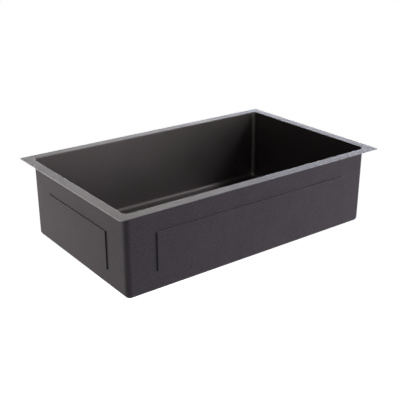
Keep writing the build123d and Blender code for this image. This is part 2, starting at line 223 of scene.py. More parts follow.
def brushed_sheet(name, rgb):
    """Stainless sheet, belt-brushed and then given a dark film in a vacuum chamber.

    The eye sees a soft grey shine with faint lines that run level along the walls and lengthways
    on rim and floor, clouded where the belt pressed more or less. The lines smear each reflection
    across themselves, which makes a wall glow from top to bottom. Real lines are about 0.05 mm
    apart; they are drawn 0.4 mm apart so that they show.
    """
    line = 0.4 * MM
    cloud = 70 * MM
    stretch = 0.02
    sheen = {"To Min": 0.34, "To Max": 0.44}
    tree, output = blank_finish(name)
    coordinates = add_node(tree, "ShaderNodeTexCoord")
    place = coordinates.outputs["Object"]
    facing = add_node(tree, "ShaderNodeSeparateXYZ", {0: coordinates.outputs["Normal"]})
    sideways = add_node(tree, "ShaderNodeMath", {0: facing}, operation="ABSOLUTE")
    on_end_wall = add_node(tree, "ShaderNodeMath", {0: sideways, 1: FACING}, operation="GREATER_THAN")
    upwards = add_node(tree, "ShaderNodeMath", {0: facing.outputs["Z"]}, operation="ABSOLUTE")
    on_level = add_node(tree, "ShaderNodeMath", {0: upwards, 1: FACING}, operation="GREATER_THAN")
    ways = {0: on_level, 4: (0, 0, 1), 5: (0, 1, 0)}
    across = add_node(tree, "ShaderNodeMix", ways, data_type="VECTOR").outputs[1]
    lengthways = add_node(tree, "ShaderNodeMapping", {"Vector": place, "Scale": (stretch, 1, 1)})
    crossways = add_node(tree, "ShaderNodeMapping", {"Vector": place, "Scale": (1, stretch, 1)})
    ways = {0: on_end_wall, 4: lengthways, 5: crossways}
    along = add_node(tree, "ShaderNodeMix", ways, data_type="VECTOR").outputs[1]
    noise = {"Scale": 1 / line, "Detail": 3.0, "Roughness": 0.6}
    lines = add_node(tree, "ShaderNodeTexNoise", {"Vector": along} | noise)
    clouds = add_node(tree, "ShaderNodeTexNoise", {"Vector": place, "Scale": 1 / cloud, "Detail": 3.0})
    shades = {6: tinted(rgb, 0.88), 7: tinted(rgb, 1.12)}
    film = add_node(tree, "ShaderNodeMix", {0: lines} | shades, data_type="RGBA")
    polish = add_node(tree, "ShaderNodeMapRange", {"Value": clouds} | sheen)
    relief = add_node(tree, "ShaderNodeBump", {"Height": lines, "Distance": 0.02 * MM})
    surface = {"Base Color": film.outputs[2], "Metallic": 1.0, "Roughness": polish, "Normal": relief}
    smeared = {"Anisotropic": 0.8, "Tangent": across}
    metal = add_node(tree, "ShaderNodeBsdfPrincipled", surface | smeared)
    tree.links.new(metal.outputs[0], output.inputs["Surface"])


def turned_steel(name, rgb):
    """The waste's steel under the same film, turned on a lathe and then brushed in rings.

    The eye sees fine circles round the drain and a sharper shine than on the sheet. The circles
    are drawn 0.35 mm apart, several times their real spacing.
    """
    ring = 0.35 * MM
    sheen = {"To Min": 0.18, "To Max": 0.3}
    tree, output = blank_finish(name)
    place = add_node(tree, "ShaderNodeTexCoord").outputs["Object"]
    from_axis = add_node(tree, "ShaderNodeVectorMath", {0: place, 1: DRAIN}, operation="SUBTRACT")
    level = add_node(tree, "ShaderNodeVectorMath", {0: from_axis, 1: (1, 1, 0)}, operation="MULTIPLY")
    radius = add_node(tree, "ShaderNodeVectorMath", {0: level}, operation="LENGTH").outputs["Value"]
    height = add_node(tree, "ShaderNodeSeparateXYZ", {0: from_axis}).outputs["Z"]
    rings = add_node(tree, "ShaderNodeCombineXYZ", {"X": radius, "Z": height})
    lines = add_node(tree, "ShaderNodeTexNoise", {"Vector": rings, "Scale": 1 / ring, "Detail": 2.0})
    shades = {6: tinted(rgb, 0.88), 7: tinted(rgb, 1.12)}
    film = add_node(tree, "ShaderNodeMix", {0: lines} | shades, data_type="RGBA")
    polish = add_node(tree, "ShaderNodeMapRange", {"Value": lines} | sheen)
    relief = add_node(tree, "ShaderNodeBump", {"Height": lines, "Distance": 0.01 * MM})
    surface = {"Base Color": film.outputs[2], "Metallic": 1.0, "Roughness": polish, "Normal": relief}
    metal = add_node(tree, "ShaderNodeBsdfPrincipled", surface)
    tree.links.new(metal.outputs[0], output.inputs["Surface"])


def sprayed_coat(name, rgb):
    """Water-borne damping coat, sprayed on and air-dried.

    The eye sees a matt, pebbled skin of dried droplets, with lighter and darker clouds where
    the gun passed. Real droplets are about 0.5 mm across; they are drawn 1.5 mm across so that
    they show.
    """
    droplet = 1.5 * MM
    bead = 1.5 * droplet
    cloud = 50 * MM
    sheen = {"To Min": 0.75, "To Max": 0.95}
    tree, output = blank_finish(name)
    place = add_node(tree, "ShaderNodeTexCoord").outputs["Object"]
    noise = {"Scale": 1 / droplet, "Detail": 3.0, "Roughness": 0.65}
    spatter = add_node(tree, "ShaderNodeTexNoise", {"Vector": place} | noise)
    cells = {"Vector": place, "Scale": 1 / bead}
    beads = add_node(tree, "ShaderNodeTexVoronoi", cells, feature="SMOOTH_F1").outputs["Distance"]
    clouds = add_node(tree, "ShaderNodeTexNoise", {"Vector": place, "Scale": 1 / cloud, "Detail": 2.0})
    pebbles = add_node(tree, "ShaderNodeMath", {0: spatter, 1: beads}, operation="SUBTRACT")
    shade = add_node(tree, "ShaderNodeMath", {0: clouds, 1: 0.5, 2: pebbles}, operation="MULTIPLY_ADD")
    shades = {6: tinted(rgb, 0.8), 7: tinted(rgb, 1.3)}
    skin = add_node(tree, "ShaderNodeMix", {0: shade} | shades, data_type="RGBA")
    dryness = add_node(tree, "ShaderNodeMapRange", {"Value": spatter} | sheen)
    relief = add_node(tree, "ShaderNodeBump", {"Height": pebbles, "Distance": 0.3 * MM})
    surface = {"Base Color": skin.outputs[2], "Roughness": dryness, "Normal": relief}
    coat = add_node(tree, "ShaderNodeBsdfPrincipled", surface | {"Specular IOR Level": 0.3})
    tree.links.new(coat.outputs[0], output.inputs["Surface"])


def grained(name, rgb, grain, depth, roughness, metallic=0.0, stretch=(1, 1, 1)):
    """A finish whose colour, sheen and relief all vary with one grain, in metres."""
    sheen = {"To Min": roughness - 0.06, "To Max": roughness + 0.06}
    tree, output = blank_finish(name)
    place = add_node(tree, "ShaderNodeTexCoord").outputs["Object"]
    drawn = add_node(tree, "ShaderNodeMapping", {"Vector": place, "Scale": stretch})
    noise = {"Scale": 1 / grain, "Detail": 3.0, "Roughness": 0.6}
    fleck = add_node(tree, "ShaderNodeTexNoise", {"Vector": drawn} | noise)
    shades = {6: tinted(rgb, 0.8), 7: tinted(rgb, 1.2)}
    skin = add_node(tree, "ShaderNodeMix", {0: fleck} | shades, data_type="RGBA")
    polish = add_node(tree, "ShaderNodeMapRange", {"Value": fleck} | sheen)
    relief = add_node(tree, "ShaderNodeBump", {"Height": fleck, "Distance": depth})
    surface = {"Base Color": skin.outputs[2], "Roughness": polish, "Normal": relief}
    body = add_node(tree, "ShaderNodeBsdfPrincipled", surface | {"Metallic": metallic})
    tree.links.new(body.outputs[0], output.inputs["Surface"])


SHEET = "Brushed stainless, dark film"
EDGE = "Sheared stainless"
COAT = "Sprayed damping coat"
BUTYL = "Cut butyl rubber"
# Thin overspray on the pads' upper and lower sides, its pale colour painted light.
OVERSPRAY_PAINTED_LIGHT = "Butyl rubber under thin overspray"
WASTE = "Turned stainless, dark film"
CHROME = "Chromed brass tube"
ZINC = "Die-cast zinc"
RUBBER = "Moulded rubber"
FOAM = "Closed-cell foam"
FIBRE = "Pressed fibre"
NYLON = "Turned nylon"


# ---- Modelling helpers ----


def leave_edit_mode():
    """Go back to object mode, wherever we are."""
    if bpy.context.object and bpy.context.object.mode != "OBJECT":
        bpy.ops.object.mode_set(mode="OBJECT")


def start(name):
    """Clear the way for a new piece: nothing selected, no older piece of this name."""
    leave_edit_mode()
    older = bpy.data.objects.get(name)
    if older:
        bpy.data.objects.remove(older)
    bpy.ops.object.select_all(action="DESELECT")


def adopt(name):
    """Name the primitive that was just added, and open it in edit mode."""
    piece = bpy.context.object
    piece.name = name
    piece.data.name = name
    bpy.ops.object.transform_apply(location=True, rotation=True, scale=True)
    bpy.ops.object.mode_set(mode="EDIT")
    return piece


def pick(piece, kind, test):
    """In edit mode, select the vertices, edges or faces all of whose vertices pass the test."""
    bpy.ops.mesh.select_mode(type={"verts": "VERT", "edges": "EDGE", "faces": "FACE"}[kind])
    bpy.ops.mesh.select_all(action="DESELECT")
    mesh = bmesh.from_edit_mesh(piece.data)
    for item in getattr(mesh, kind):
        corners = [item] if kind == "verts" else item.verts
        if all(test(corner.co) for corner in corners):
            item.select_set(True)
    mesh.select_flush_mode()
    bmesh.update_edit_mesh(piece.data)


def pick_all():
    """In edit mode, select the whole mesh."""
    bpy.ops.mesh.select_all(action="SELECT")


def near(value, target, reach=TINY):
    """Whether a value is within reach of its target."""
    return abs(value - target) < reach


def at_height(height):
    """A test for vertices at this height."""
    return lambda place: near(place.z, height)


def grow(across, back, centre):
    """Scale what is selected about a point, across and from front to back."""
    bpy.ops.transform.resize(value=(across, back, 1), center_override=centre)


def round_picked(width, steps):
    """Round the selected edges, however little room their neighbours leave."""
    bpy.ops.mesh.bevel(offset=width, segments=steps, affect="EDGES", clamp_overlap=False)


def smooth(piece, sharp=30):
    """Leave edit mode, and shade smoothly except over edges sharper than this many degrees."""
    leave_edit_mode()
    bpy.ops.object.shade_smooth_by_angle(angle=radians(sharp))
    piece.modifiers.new("Flat faces stay flat", "WEIGHTED_NORMAL").keep_sharp = True
    bpy.ops.object.modifier_apply(modifier="Flat faces stay flat")


def soften(piece, width, sharp=35):
    """Round every edge sharper than this many degrees."""
    leave_edit_mode()
    rounding = piece.modifiers.new("Softened edges", "BEVEL")
    rounding.width = width
    rounding.segments = 2
    rounding.limit_method = "ANGLE"
    rounding.angle_limit = radians(sharp)
    rounding.miter_outer = "MITER_ARC"
    bpy.ops.object.modifier_apply(modifier="Softened edges")


def trace(name, outline, closed):
    """A line through corners of (radius, height, rounding), drawn in the XZ plane from the seat."""
    start(name)
    bpy.ops.mesh.primitive_plane_add(size=MM, location=(0, 0, 0))
    piece = adopt(name)
    pick_all()
    bpy.ops.mesh.merge(type="CENTER")
    corners = [Vector((radius, 0, height)) for radius, height, _ in outline]
    bpy.ops.transform.translate(value=corners[0])
    for before, after in zip(corners, corners[1:]):
        bpy.ops.mesh.extrude_region_move(TRANSFORM_OT_translate={"value": after - before})
    if closed:
        ends = (corners[0], corners[-1])
        pick(piece, "verts", lambda place: any((place - end).length < TINY / 10 for end in ends))
        bpy.ops.mesh.edge_face_add()
    for corner, (_, _, rounding) in zip(corners, outline):
        if rounding:
            pick(piece, "verts", lambda place: (place - corner).length < TINY / 10)
            bpy.ops.mesh.bevel(affect="VERTICES", offset=rounding, segments=5)
    return piece


def turn(name, outline, closed=True, steps=96):
    """Spin an outline about the waste's axis into a turned piece."""
    piece = trace(name, outline, closed)
    pick_all()
    bpy.ops.mesh.spin(steps=steps, angle=2 * pi, center=(0, 0, 0), axis=(0, 0, 1))
    pick_all()
    bpy.ops.mesh.remove_doubles(threshold=TINY / 5)
    bpy.ops.mesh.normals_make_consistent(inside=False)
    bpy.ops.transform.translate(value=DRAIN)
    return piece


def thread(name, radius, top, bottom, pitch, depth):
    """A helical ridge on a cylinder, as a solid that sinks a little into it."""
    sunk = 0.2 * MM
    root = radius - depth - sunk
    half = 0.45 * pitch
    crest = 0.1 * pitch
    outline = [
        (root, top, 0),
        (radius, top - half + crest, 0),
        (radius, top - half - crest, 0),
        (root, top - 2 * half, 0),
    ]
    piece = trace(name, outline, closed=True)
    leave_edit_mode()
    helix = piece.modifiers.new("Helix", "SCREW")
    helix.angle = 2 * pi
    helix.steps = helix.render_steps = 64
    helix.iterations = int((top - bottom) / pitch) - 1
    helix.screw_offset = -pitch
    helix.use_merge_vertices = False
    bpy.ops.object.modifier_apply(modifier="Helix")
    bpy.ops.object.mode_set(mode="EDIT")
    pick_all()
    bpy.ops.mesh.fill_holes(sides=len(outline))
    pick_all()
    bpy.ops.mesh.normals_make_consistent(inside=False)
    bpy.ops.transform.translate(value=DRAIN)
    return piece


def refined(node, name, rounding):
    """A copy of a CAD node with welded corners, whole flat faces and softened edges."""
    start(name)
    piece = bpy.data.objects.new(name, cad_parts[node].data.copy())
    bpy.context.scene.collection.objects.link(piece)
    bpy.context.view_layer.objects.active = piece
    piece.select_set(True)
    piece.data.materials.clear()
    bpy.ops.object.mode_set(mode="EDIT")
    pick_all()
    bpy.ops.mesh.remove_doubles(threshold=TINY / 10)
    same_plane = radians(0.5)
    bpy.ops.mesh.dissolve_limited(angle_limit=same_plane)
    soften(piece, rounding)
    smooth(piece)
    return piece


def dress(piece, *finishes):
    """Give the piece its finishes, the first one for every face so far."""
    for name in finishes:
        piece.data.materials.append(bpy.data.materials[name])


def finish(piece, body, slot, *nodes):
    """Parent the piece to the empty of its body, and hide the CAD nodes that it stands for. The slot is
    not used.
    """
    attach(piece, body)
    if nodes:
        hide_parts(*nodes)


def refine_stack(body, stack):
    """Refine CAD nodes, each given with its new name, rounding, finish and slot."""
    for node, name, rounding, material, slot in stack:
        piece = refined(node, name, rounding)
        dress(piece, material)
        finish(piece, body, slot, node)


def on_faces(piece, slot_number, test):
    """Give the faces whose middle and normal pass the test another material slot."""
    for face in piece.data.polygons:
        if test(face.center, face.normal):
            face.material_index = slot_number


# ---- Pieces ----


class SINK_OT_finishes(bpy.types.Operator):
    """Make every finish from its colour"""

    bl_idname = "sink.finishes"
    bl_label = "Finishes"

    def execute(self, context):
        sheet = context.scene.sink_sheet
        pads = context.scene.sink_pads
        waste = context.scene.sink_waste
        brushed_sheet(SHEET, sheet.steel)
        sprayed_coat(COAT, sheet.coat)
        turned_steel(WASTE, waste.steel)
        # Bare metal where the shear went through: bright, with fine upright marks.
        grained(EDGE, sheet.edge, 0.5 * MM, 0.03 * MM, 0.58, metallic=1.0, stretch=(1, 1, 0.1))
        # Butyl sheet, cut with a knife: black and dull, with a fine crumbly face.
        grained(BUTYL, pads.rubber, 0.8 * MM, 0.05 * MM, 0.7)
        # The same rubber where the spray just caught it: grey over black, dry and spotted. Its pale
        # grey is painted light, which lifts the pads' upper sides that the low lamps leave in shade.
        grained(OVERSPRAY_PAINTED_LIGHT, pads.overspray, 1.5 * MM, 0.1 * MM, 0.85)
        # Plating over a drawn tube: nearly a mirror, with long faint draw marks.
        grained(CHROME, waste.chrome, 1.0 * MM, 0.002 * MM, 0.12, metallic=1.0, stretch=(1, 1, 0.05))
        # Cast in a steel die and tumbled: a dull silver skin, lightly dimpled.
        grained(ZINC, waste.zinc, 1.2 * MM, 0.04 * MM, 0.42, metallic=1.0)
        # Pressed in a heated mould: near black and silky.
        grained(RUBBER, waste.rubber, 0.6 * MM, 0.02 * MM, 0.5)
        # Foam cut from a block: cells half a millimetre across, quite matt.
        grained(FOAM, waste.foam, 0.5 * MM, 0.1 * MM, 0.9)
        # Paper fibre pressed with resin: brown, flecked and dry.
        grained(FIBRE, waste.fibre, 1.0 * MM, 0.05 * MM, 0.85)
        # Nylon turned from bar: milky, with a slight shine.
        grained(NYLON, waste.nylon, 0.8 * MM, 0.01 * MM, 0.4)
        return {"FINISHED"}


class SINK_OT_bowl(bpy.types.Operator):
    """Fold the rim and bowl from one sheet, with its falling floor and the dish round the drain"""

    bl_idname = "sink.bowl"
    bl_label = "Bowl and rim"

    corner_steps = 16
    square_corner = 5 * MM
    dish_bend = 1.2 * MM
    cut_round = 0.25 * MM
    # How far from its place an outline is drawn, so that its corners are picked apart from others.
    apart = 50 * MM

    def walls(self, piece, sizes, opening, floor):
        """Round the upright corners and the foot of the walls, and open the top."""
        half = opening / 2
        at_corner = lambda place: near(abs(place.x), half.x) and near(abs(place.y), half.y)
        mesh = bmesh.from_edit_mesh(piece.data)
        bpy.ops.mesh.select_mode(type="EDGE")
        bpy.ops.mesh.select_all(action="DESELECT")
        for edge in mesh.edges:
            first, last = edge.verts
            edge.select_set(at_corner(first.co) and not near(first.co.z, last.co.z))
        bmesh.update_edit_mesh(piece.data)
        round_picked(sizes.corner, self.corner_steps)
        pick(piece, "faces", at_height(0))
        bpy.ops.mesh.delete(type="ONLY_FACE")
        pick(piece, "edges", at_height(floor))
        round_picked(sizes.floor_round, 8)
        pick(piece, "faces", at_height(floor))
        bpy.ops.mesh.delete(type="ONLY_FACE")

    def bridge_to(self, piece, height, drawn_at, home):
        """Bridge the loop at a height to an outline drawn well away from it, then bring that home."""
        pick(piece, "edges", lambda place: near(place.z, height) or near(place.z, drawn_at))
        bpy.ops.mesh.bridge_edge_loops()
        pick(piece, "verts", at_height(drawn_at))
        bpy.ops.transform.translate(value=(0, 0, home - drawn_at))

    def rounded_rectangle(self, size, centre, corner):
        """Add a rectangle's outline with rounded corners, without its face."""
        bpy.ops.mesh.primitive_plane_add(size=1, location=centre)
        grow(size.x, size.y, centre)
        bpy.ops.mesh.bevel(affect="VERTICES", offset=corner, segments=self.corner_steps)
        bpy.ops.mesh.delete(type="ONLY_FACE")

    def rim(self, piece, sizes, rim_size, opening):
        """Bridge the opening to the rim's outline, and round the fold between them."""
        self.rounded_rectangle(rim_size, Vector((0, 0, self.apart)), sizes.rim_corner)
        self.bridge_to(piece, 0, self.apart, 0)
        reach = opening / 2 + Vector((MM, MM, 0))
        inside = lambda place: near(place.z, 0) and abs(place.x) < reach.x and abs(place.y) < reach.y
        pick(piece, "edges", inside)
        round_picked(sizes.fold, 4)

    def floor(self, piece, sizes, floor):
        """Let four flat facets fall to the level square, and the square run to the dish's mouth."""
        low = floor - sizes.fall
        below = low - self.apart
        side = sizes.square
        middle = Vector((DRAIN.x, DRAIN.y, below))
        self.rounded_rectangle(Vector((side, side, 0)), middle, self.square_corner)
        self.bridge_to(piece, floor, below, low)
        around = 4 * (self.corner_steps + 1)
        half_step = (0, 0, pi / around)
        bpy.ops.mesh.primitive_circle_add(
            vertices=around, radius=sizes.dish_mouth, location=middle, rotation=half_step
        )
        self.bridge_to(piece, low, below, low)

    def dish(self, piece, sizes, floor):
        """Press the dish round the drain and cut the hole."""
        low = floor - sizes.fall
        axis = Vector((DRAIN.x, DRAIN.y, 0))
        off_axis = lambda place: (place.xy - axis.xy).length
        on_mouth = lambda place: near(place.z, low) and near(off_axis(place), sizes.dish_mouth)
        pick(piece, "edges", on_mouth)
        bpy.ops.mesh.extrude_region_move(TRANSFORM_OT_translate={"value": (0, 0, DRAIN.z - low)})
        to_seat = sizes.dish_seat / sizes.dish_mouth
        grow(to_seat, to_seat, axis)
        bpy.ops.mesh.extrude_region_move(TRANSFORM_OT_translate={"value": (0, 0, 0)})
        to_hole = sizes.drain_hole / sizes.dish_seat
        grow(to_hole, to_hole, axis)
        for height, radius in ((low, sizes.dish_mouth), (DRAIN.z, sizes.dish_seat)):
            pick(piece, "edges", lambda place: near(place.z, height) and near(off_axis(place), radius))
            round_picked(self.dish_bend, 4)

    def press_creases(self, piece, sizes, floor):
        """Push the corners of the level square down, so that a groove runs out along each crease."""
        low = floor - sizes.fall
        tip = sizes.square / 2 - (1 - cos(pi / 4)) * self.square_corner
        reach = 0.1 * MM
        groove = 4 * MM
        is_tip = lambda place: (
            near(place.z, low)
            and near(abs(place.x - DRAIN.x), tip, reach)
            and near(abs(place.y - DRAIN.y), tip, reach)
        )
        pick(piece, "verts", is_tip)
        bpy.ops.transform.translate(
            value=(0, 0, -sizes.crease),
            use_proportional_edit=True,
            proportional_edit_falloff="SMOOTH",
            proportional_size=groove,
        )

    def execute(self, context):
        sizes = context.scene.sink_sheet
        rim_size = RIM_HIGH - RIM_LOW
        opening = Vector((rim_size.x - 2 * sizes.rim_width, rim_size.y - 2 * sizes.rim_width, 0))
        floor = sizes.sheet - sizes.depth
        start("bowl")
        room = (opening.x, opening.y, -floor)
        bpy.ops.mesh.primitive_cube_add(size=1, location=(0, 0, floor / 2), scale=room)
        piece = adopt("bowl")
        self.walls(piece, sizes, opening, floor)
        self.rim(piece, sizes, rim_size, opening)
        self.floor(piece, sizes, floor)
        self.dish(piece, sizes, floor)
        self.press_creases(piece, sizes, floor)
        pick_all()
        bpy.ops.mesh.normals_make_consistent(inside=False)
        mesh = bmesh.from_edit_mesh(piece.data)
        rim_face = max(mesh.faces, key=lambda face: face.calc_center_median().z)
        if rim_face.normal.z < 0:
            bpy.ops.mesh.flip_normals()
        leave_edit_mode()
        dress(piece, SHEET, COAT, EDGE)
        gauge = piece.modifiers.new("Gauge", "SOLIDIFY")
        gauge.thickness = sizes.sheet
        gauge.offset = -1
        gauge.use_even_offset = True
        gauge.material_offset = 1
        gauge.material_offset_rim = 2
        bpy.ops.object.modifier_apply(modifier="Gauge")
        # The undercoat stops at the fold: the rim is bare brushed steel below as well.
        level = 0.9
        under_rim = lambda middle, normal: normal.z < -level and middle.z > -2 * sizes.sheet
        on_faces(piece, 0, under_rim)
        soften(piece, self.cut_round, sharp=60)
        bpy.ops.object.mode_set(mode="EDIT")
        pick_all()
        bpy.ops.mesh.dissolve_degenerate(threshold=TINY / 2)
        smooth(piece)
        finish(piece, "sink", "brushed_sheet", "bowl_shell")
        return {"FINISHED"}


class SINK_OT_pads(bpy.types.Operator):
    """Stick the damping pads on: coated like the bowl outside, black at their cut ends, and painted
    pale on their upper and lower sides as painted light
    """

    bl_idname = "sink.pads"
    bl_label = "Damping pads"

    # A face is a cut end when less than this of its normal points out of the wall.
    out = 0.5
    # A cut end is an upper or lower side when more than this of its normal points up or down; these
    # sides are painted pale, as painted light.
    up = 0.8

    def execute(self, context):
        rounding = context.scene.sink_pads.edge_round
        for node in sorted(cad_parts):
            if not node.startswith("damping_pad"):
                continue
            piece = refined(node, node.replace("damping_pad", "coated_pad"), rounding)
            low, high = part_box(node)
            size = high - low
            thin = min(range(3), key=lambda axis: size[axis])
            on_faces(piece, 1, lambda middle, normal: abs(normal[thin]) < self.out)
            # Upper and lower sides take the pale finish: painted light, lifting sides that the low
            # lamps leave in shade.
            if thin != 2:
                on_faces(piece, 2, lambda middle, normal: abs(normal.z) > self.up)
            dress(piece, COAT, BUTYL, OVERSPRAY_PAINTED_LIGHT)
            finish(piece, "sink", "coated_pad", node)
        return {"FINISHED"}


class SINK_OT_strainer(bpy.types.Operator):
    """Turn the strainer body with its rolled flange, threads and snap cross"""

    bl_idname = "sink.strainer"
    bl_label = "Strainer body"

    # Radii of the cup and the outlet, outside and inside, and heights from the gasket's seat.
    cup = 42.5 * MM
    bore = 40.5 * MM
    outlet = 23.9 * MM
    outlet_bore = 20.5 * MM
    ledge = -50 * MM
    ledge_gauge = 3 * MM
    thread_start = -18 * MM
    flange_under = 1.0 * MM
    flange_edge = 2.0 * MM
    cross_top = -60 * MM
    cross_height = 4 * MM

    def execute(self, context):
        sizes = context.scene.sink_waste
        crest, end, flange = turned_box("strainer_body")
        depth = sizes.thread_depth
        cup_root = self.cup - depth
        outlet_root = self.outlet - depth
        ledge_under = self.ledge - self.ledge_gauge
        outline = [
            # Down the rolled flange from the bore to its edge, and back under it.
            (self.bore, -1.5 * MM, 2.2 * MM),
            (44.2 * MM, self.flange_edge, 2.2 * MM),
            (flange - 4 * MM, crest, 2.5 * MM),
            (flange, self.flange_edge, 0.9 * MM),
            (flange, self.flange_under, 0.25 * MM),
            (44.7 * MM, self.flange_under, 0.5 * MM),
            (self.cup, -1.2 * MM, 0.3 * MM),
            # Down the outside of the cup and the outlet, at the threads' root.
            (self.cup, self.thread_start, 0),
            (cup_root, self.thread_start - depth, 0),
            (cup_root, ledge_under, 2.5 * MM),
            (outlet_root, ledge_under, 0.8 * MM),
            (outlet_root, end, 0.4 * MM),
            # Up the inside.
            (self.outlet_bore, end, 0.4 * MM),
            (self.outlet_bore, self.ledge, 0.8 * MM),
            (self.bore, self.ledge, 3.0 * MM),
        ]
        body = turn("strainer_cup", outline, steps=128)
        smooth(body, 40)
        dress(body, WASTE)
        finish(body, "sink", "waste_steel", "strainer_body")
        for name, radius, top, bottom in (
            ("strainer_thread", self.cup, self.thread_start - MM, self.ledge),
            ("outlet_thread", self.outlet, ledge_under - MM, end),
        ):
            ridge = thread(name, radius, top, bottom, sizes.thread_pitch, depth)
            smooth(ridge)
            dress(ridge, WASTE)
            finish(ridge, "sink", "waste_steel")
        self.cross()
        return {"FINISHED"}

    def cross(self):
        """The hub that the post snaps into, on four spokes that end inside the outlet's wall."""
        top = self.cross_top
        under = top - self.cross_height
        hub_bore = 3.7 * MM
        hub_radius = 7.0 * MM
        rounding = 0.4 * MM
        hub = [
            (hub_bore, top, rounding),
            (hub_radius, top, rounding),
            (hub_radius, under, rounding),
            (hub_bore, under, rounding),
        ]
        piece = turn("snap_cross", hub, steps=48)
        leave_edit_mode()
        inner = 6.8 * MM
        outer = self.outlet_bore + 1 * MM
        width = 3 * MM
        middle = (inner + outer) / 2
        start("spokes")
        bpy.ops.mesh.primitive_cube_add(
            size=1,
            location=(middle * cos(pi / 4), middle * sin(pi / 4), (top + under) / 2),
            rotation=(0, 0, pi / 4),
            scale=(outer - inner, width, self.cross_height),
        )
        spokes = adopt("spokes")
        soften(spokes, rounding)
        bpy.ops.object.mode_set(mode="EDIT")
        pick_all()
        bpy.ops.mesh.spin(steps=3, angle=3 * pi / 2, dupli=True, center=(0, 0, 0), axis=(0, 0, 1))
        pick_all()
        bpy.ops.transform.translate(value=DRAIN)
        leave_edit_mode()
        piece.select_set(True)
        bpy.context.view_layer.objects.active = piece
        bpy.ops.object.join()
        smooth(piece)
        dress(piece, WASTE)
        finish(piece, "sink", "waste_steel")


class SINK_OT_clamping(bpy.types.Operator):
    """Stack the gasket, sealing washer, friction ring and locknut that clamp the strainer"""

    bl_idname = "sink.clamping"
    bl_label = "Seals and locknut"

    def execute(self, context):
        cast = context.scene.sink_waste.edge_round
        punched = 0.2 * MM
        stack = (
            ("flange_gasket", "foam_gasket", punched, FOAM, "foam_rubber"),
            ("sealing_washer", "rubber_washer", cast, RUBBER, "black_rubber"),
            ("friction_ring", "fibre_ring", punched, FIBRE, "fibre"),
            ("locknut", "cast_locknut", cast, ZINC, "cast_zinc"),
        )
        refine_stack("sink", stack)
        return {"FINISHED"}


class SINK_OT_tailpiece(bpy.types.Operator):
    """Hang the tailpiece from the outlet by its coupling nut"""

    bl_idname = "sink.tailpiece"
    bl_label = "Tailpiece and coupling nut"

    def execute(self, context):
        cast = context.scene.sink_waste.edge_round
        stack = (
            ("tailpiece_washer", "nylon_washer", 0.2 * MM, NYLON, "white_nylon"),
            ("tailpiece", "chromed_tail", 0.35 * MM, CHROME, "tube_brass"),
            ("coupling_nut", "cast_coupling", cast, ZINC, "cast_zinc"),
        )
        refine_stack("sink", stack)
        return {"FINISHED"}


